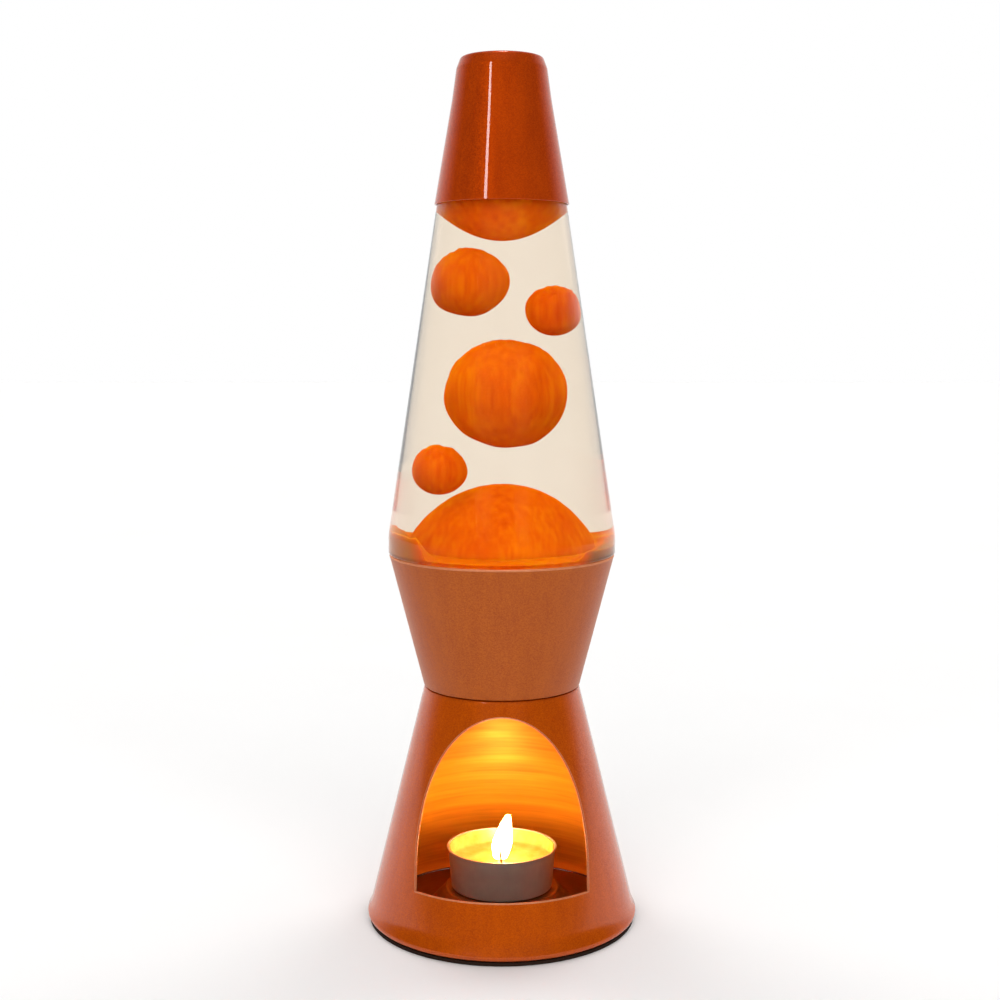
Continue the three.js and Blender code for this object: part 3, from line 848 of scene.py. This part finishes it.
def studio():
    floor_mesh = bpy.data.meshes.new("studio_floor")
    reach = 6.0
    corners = [(-reach, -reach, 0), (reach, -reach, 0), (reach, reach, 0), (-reach, reach, 0)]
    floor_mesh.from_pydata(corners, [], [(0, 1, 2, 3)])
    floor = new_object("studio_floor", floor_mesh)
    t = Tree("pale_floor")
    cloud = t.noise(t.stretched(9, 9, 9), 2.0)
    colour = t.ramp(cloud, (0.3, (0.855, 0.852, 0.847)), (0.7, (0.865, 0.862, 0.857)))
    shader = t.principled(Base_Color=colour)
    shader.inputs["Roughness"].default_value = 0.9
    shader.inputs["Specular IOR Level"].default_value = 0.0
    floor.data.materials.append(t.material)
    tent_world()


def tent_world():
    """White to the camera and through glass; to everything else a tent that is dim in front."""
    world = bpy.data.worlds.new("studio")
    bpy.context.scene.world = world
    world.use_nodes = True
    nodes, links = world.node_tree.nodes, world.node_tree.links
    nodes.clear()
    rays = nodes.new("ShaderNodeLightPath")
    seen = nodes.new("ShaderNodeMath")
    seen.operation = "MAXIMUM"
    links.new(rays.outputs["Is Camera Ray"], seen.inputs[0])
    links.new(rays.outputs["Is Transmission Ray"], seen.inputs[1])
    split = nodes.new("ShaderNodeSeparateXYZ")
    links.new(nodes.new("ShaderNodeTexCoord").outputs["Generated"], split.inputs[0])
    behind = nodes.new("ShaderNodeMapRange")
    behind.interpolation_type = "SMOOTHSTEP"
    behind.inputs["From Min"].default_value, behind.inputs["From Max"].default_value = TENT_EDGE
    links.new(split.outputs["Y"], behind.inputs["Value"])
    tent = nodes.new("ShaderNodeMixRGB")
    links.new(behind.outputs[0], tent.inputs[0])
    for place, stops in ((1, TENT_FRONT), (2, TENT_BACK)):
        wall = nodes.new("ShaderNodeValToRGB")
        while len(wall.color_ramp.elements) < len(stops):
            wall.color_ramp.elements.new(0.5)
        for element, (height, level) in zip(wall.color_ramp.elements, stops):
            element.position = height
            element.color = (level, level, level, 1)
        links.new(split.outputs["Z"], wall.inputs[0])
        links.new(wall.outputs[0], tent.inputs[place])
    shaders = []
    for colour in (tent.outputs[0], None):
        background = nodes.new("ShaderNodeBackground")
        background.inputs["Color"].default_value = (1, 1, 1, 1)
        if colour:
            links.new(colour, background.inputs["Color"])
        shaders.append(background.outputs[0])
    either = nodes.new("ShaderNodeMixShader")
    links.new(seen.outputs[0], either.inputs[0])
    links.new(shaders[0], either.inputs[1])
    links.new(shaders[1], either.inputs[2])
    links.new(either.outputs[0], nodes.new("ShaderNodeOutputWorld").inputs["Surface"])


def softbox(name, place, aim, width, height, power, colour=(1, 1, 1)):
    light = bpy.data.lights.new(name, "AREA")
    light.shape = "RECTANGLE"
    light.size = width
    light.size_y = height
    light.energy = power
    light.color = colour
    lamp = bpy.data.objects.new(name, light)
    lamp.location = place
    lamp.rotation_euler = (Vector(aim) - Vector(place)).to_track_quat("-Z", "Y").to_euler()
    bpy.context.scene.collection.objects.link(lamp)
    return lamp


def wide_sun(name, turn, height, spread, power):
    """Soft daylight from one side that gloss does not mirror. Angles in degrees, turn from the front."""
    sun = bpy.data.lights.new(name, "SUN")
    sun.energy = power
    sun.angle = math.radians(spread)
    holder = bpy.data.objects.new(name, sun)
    holder.rotation_euler = (math.radians(90 - height), 0, math.radians(turn))
    holder.visible_glossy = False
    bpy.context.scene.collection.objects.link(holder)


def lights():
    wide_sun("overhead", 0, 90, 60, 0.8)
    for name, turn, power in (("front_left", -20, 1.1), ("front_right", 22, 1.0), ("back_left", -140, 1.0),
                              ("back_right", 140, 1.0)):
        wide_sun(name, turn, 28, 40, power)
    softbox("tube", (-0.44, -0.8, 0.75), (0, 0, 0.27), 0.085, 0.2, 0.8).visible_diffuse = False
    softbox("top_card", (0.03, -0.05, 1.3), (0, 0, 0.3), 0.2, 0.2, 2.6).visible_diffuse = False


def camera():
    view = bpy.data.cameras.new("camera")
    view.sensor_width = 36
    view.lens = 54.72
    view.clip_start = 0.01
    holder = bpy.data.objects.new("camera", view)
    holder.location = (-0.00062, -0.524, 0.2058)
    holder.rotation_euler = (math.radians(90 - 6.25), 0, 0)
    bpy.context.scene.collection.objects.link(holder)
    bpy.context.scene.camera = holder
    bpy.context.scene.view_settings.view_transform = "Standard"


def dress_node(node, material):
    """Gives a CAD node that stays in view its finished material."""
    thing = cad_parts[node]
    if not thing.material_slots:
        thing.data.materials.append(None)
    for place in thing.material_slots:
        place.material = material


def build():
    camera()
    studio()
    lights()
    base_deep, base_bright = (0.44, 0.056, 0.0002), (0.63, 0.102, 0.0004)
    cap_deep, cap_bright = (0.41, 0.037, 0.0002), (0.6, 0.067, 0.0004)
    gloss = metallic_paint("gloss_flake_lacquer", base_deep, base_bright, 0.4, 1.0, 0.14)
    cap_gloss = metallic_paint("cap_flake_lacquer", cap_deep, cap_bright, 0.4, 1.0, 0.015)
    satin = metallic_paint("satin_flake_lacquer", (0.34, 0.058, 0.001), (0.48, 0.105, 0.003), 0.48, 0.7, 0.3)
    # A paler copy of the lacquer for the sheet edges: a painted highlight along them.
    edge_highlight_paint = metallic_paint("edge_highlight_lacquer", (0.56, 0.17, 0.07), (0.68, 0.27, 0.13), 0.45, 0.5, 0.2)
    steel = plated_steel("plated_steel")
    wax = lava_wax("lava_wax", 1.05)
    base_shell(gloss, spun_paint("spun_inside"))
    window_edge(edge_highlight_paint)
    waist_shell(satin)
    edge_ring("waist_rim_edge", cup_radius(CUP_RIM) - SHEET / 2, CUP_RIM - 0.2, 0.42, edge_highlight_paint)
    edge_ring("base_top_edge", base_radius(BASE_TOP) - 0.3, BASE_TOP - 0.42, 0.3, edge_highlight_paint)
    pressed_tray(tray_metal("tray_metal"))
    foam_foot(plain_rough("black_foam", (0.012, 0.007, 0.005), (0.035, 0.018, 0.012), 0.85, 0.5))
    glass_bottle(clear_glass("clear_glass"))
    liquid(clear_liquid("clear_liquid"))
    wax_pool_mound(wax)
    # The top mass gets a brighter copy of the same wax: painted light.
    wax_top_mass(lava_wax("lava_wax_top_painted_light", 1.55))
    for i in range(1, 5):
        wax_blob(f"wax_blob_{i}", f"blob_{i}", wax, i)
    crown_closure(steel)
    cap_shell(cap_gloss)
    tealight_cup(aluminium_foil("aluminium_foil"))
    tealight_candle(candle_wax("candle_wax"))
    wick(plain_rough("charred_cotton", (0.0005, 0.0003, 0.0002), (0.003, 0.0014, 0.0007), 0.9, 0.25))
    flame_body("flame", flame_light("flame", 105.0, (1.0, 0.68, 0.26), (1.0, 0.4, 0.06)))
    for node in ("flange_rivet_1", "flange_rivet_2", "flange_rivet_3", "flange_rivet_4", "heat_coil",
                 "wick_sustainer"):
        dress_node(node, steel)
    dress_node("crown_liner", plain_rough("liner_card", (0.62, 0.6, 0.56), (0.78, 0.76, 0.72), 0.7, 0.4))


build()
